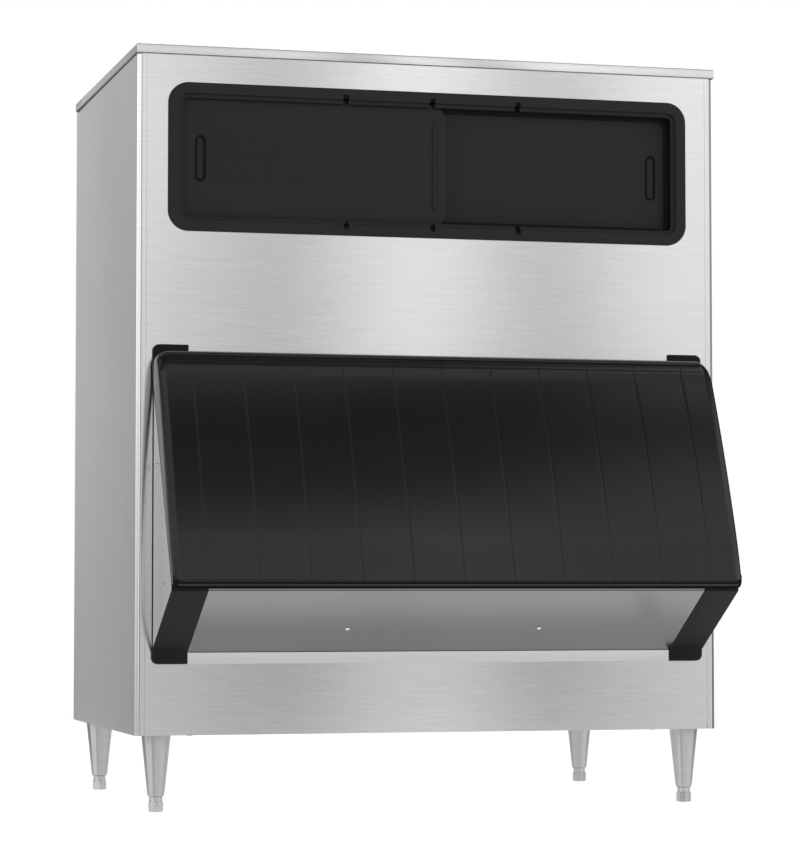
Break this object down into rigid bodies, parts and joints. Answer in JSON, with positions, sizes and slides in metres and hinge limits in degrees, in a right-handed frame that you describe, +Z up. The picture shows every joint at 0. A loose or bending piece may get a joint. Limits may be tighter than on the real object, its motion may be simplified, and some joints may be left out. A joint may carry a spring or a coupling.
{
  "type": "ice storage bin",
  "caption": "Free-standing insulated ice bin on levelling legs, with a lift-up plank-ribbed door on a sloping throat and a sliding two-panel window above it.",
  "frame": {"origin": "on the floor, under the middle of the whole outline, door included", "axes": "+X to the right seen from the front, +Y to the back, +Z up"},
  "size_m": [1.2192, 1.0222, 1.524],
  "materials": {
    "stainless": "fine horizontal brushed grain",
    "leg_steel": "satin turned steel",
    "zinc_steel": "dull zinc-plated steel",
    "black_plastic": "satin black moulded plastic",
    "liner_plastic": "smooth off-white moulded plastic",
    "foam": "rigid insulating foam",
    "gasket_rubber": "soft black rubber",
    "drain_plastic": "plain moulded plastic"
  },
  "bodies": {
    "cabinet": {"side_panel_left": "stainless", "side_panel_right": "stainless", "front_panel": "stainless", "rear_panel": "stainless", "base_pan": "stainless", "top_cap": "stainless", "bin_liner": "liner_plastic", "bin_insulation": "foam", "drain_fitting": "drain_plastic", "drain_nut": "drain_plastic", "drain_strainer": "stainless", "window_bezel": "black_plastic", "side_frame_left": "black_plastic", "side_frame_right": "black_plastic", "cheek_panel_left": "stainless", "cheek_panel_right": "stainless", "cheek_insulation_left": "foam", "cheek_insulation_right": "foam", "cheek_screw_left_high": "zinc_steel", "cheek_screw_left_low": "zinc_steel", "cheek_screw_right_high": "zinc_steel", "cheek_screw_right_low": "zinc_steel", "throat_liner": "liner_plastic", "throat_header": "black_plastic", "throat_top_strip": "stainless", "throat_lip_strip": "stainless", "trough_sheet": "stainless", "trough_insulation": "foam", "trough_screw_left": "zinc_steel", "trough_screw_right": "zinc_steel", "hinge_pin_left": "zinc_steel", "hinge_pin_right": "zinc_steel", "leg_plate_front_left": "zinc_steel", "leg_plate_front_right": "zinc_steel", "leg_plate_rear_left": "zinc_steel", "leg_plate_rear_right": "zinc_steel", "base_bolt_front_left": "zinc_steel", "base_bolt_front_right": "zinc_steel", "base_bolt_rear_left": "zinc_steel", "base_bolt_rear_right": "zinc_steel", "leg_front_left": "leg_steel", "leg_front_right": "leg_steel", "leg_rear_left": "leg_steel", "leg_rear_right": "leg_steel"},
    "door": {"door_shell": "black_plastic", "door_insulation": "foam", "door_liner": "liner_plastic", "door_gasket": "gasket_rubber", "door_hinge_block_left": "drain_plastic", "door_hinge_block_right": "drain_plastic"},
    "left_window_panel": {"window_slide_left": "black_plastic"},
    "right_window_panel": {"window_slide_right": "black_plastic"},
    "front_left_foot": {"foot_front_left": "leg_steel"},
    "front_right_foot": {"foot_front_right": "leg_steel"},
    "rear_left_foot": {"foot_rear_left": "leg_steel"},
    "rear_right_foot": {"foot_rear_right": "leg_steel"}
  },
  "joints": [
    {"name": "door_hinge", "type": "hinge", "parent": "cabinet", "child": "door", "pos_m": [0, -0.30603, 0.8921], "axis": [-1, 0, 0], "range_deg": [0, 95]},
    {"name": "left_window_slide", "type": "slide", "parent": "cabinet", "child": "left_window_panel", "axis": [1, 0, 0], "range_m": [0, 0.48]},
    {"name": "right_window_slide", "type": "slide", "parent": "cabinet", "child": "right_window_panel", "axis": [-1, 0, 0], "range_m": [0, 0.48]},
    {"name": "front_left_foot_adjust", "type": "slide", "parent": "cabinet", "child": "front_left_foot", "axis": [0, 0, -1], "range_m": [0, 0.025]},
    {"name": "front_right_foot_adjust", "type": "slide", "parent": "cabinet", "child": "front_right_foot", "axis": [0, 0, -1], "range_m": [0, 0.025]},
    {"name": "rear_left_foot_adjust", "type": "slide", "parent": "cabinet", "child": "rear_left_foot", "axis": [0, 0, -1], "range_m": [0, 0.025]},
    {"name": "rear_right_foot_adjust", "type": "slide", "parent": "cabinet", "child": "rear_right_foot", "axis": [0, 0, -1], "range_m": [0, 0.025]}
  ]
}
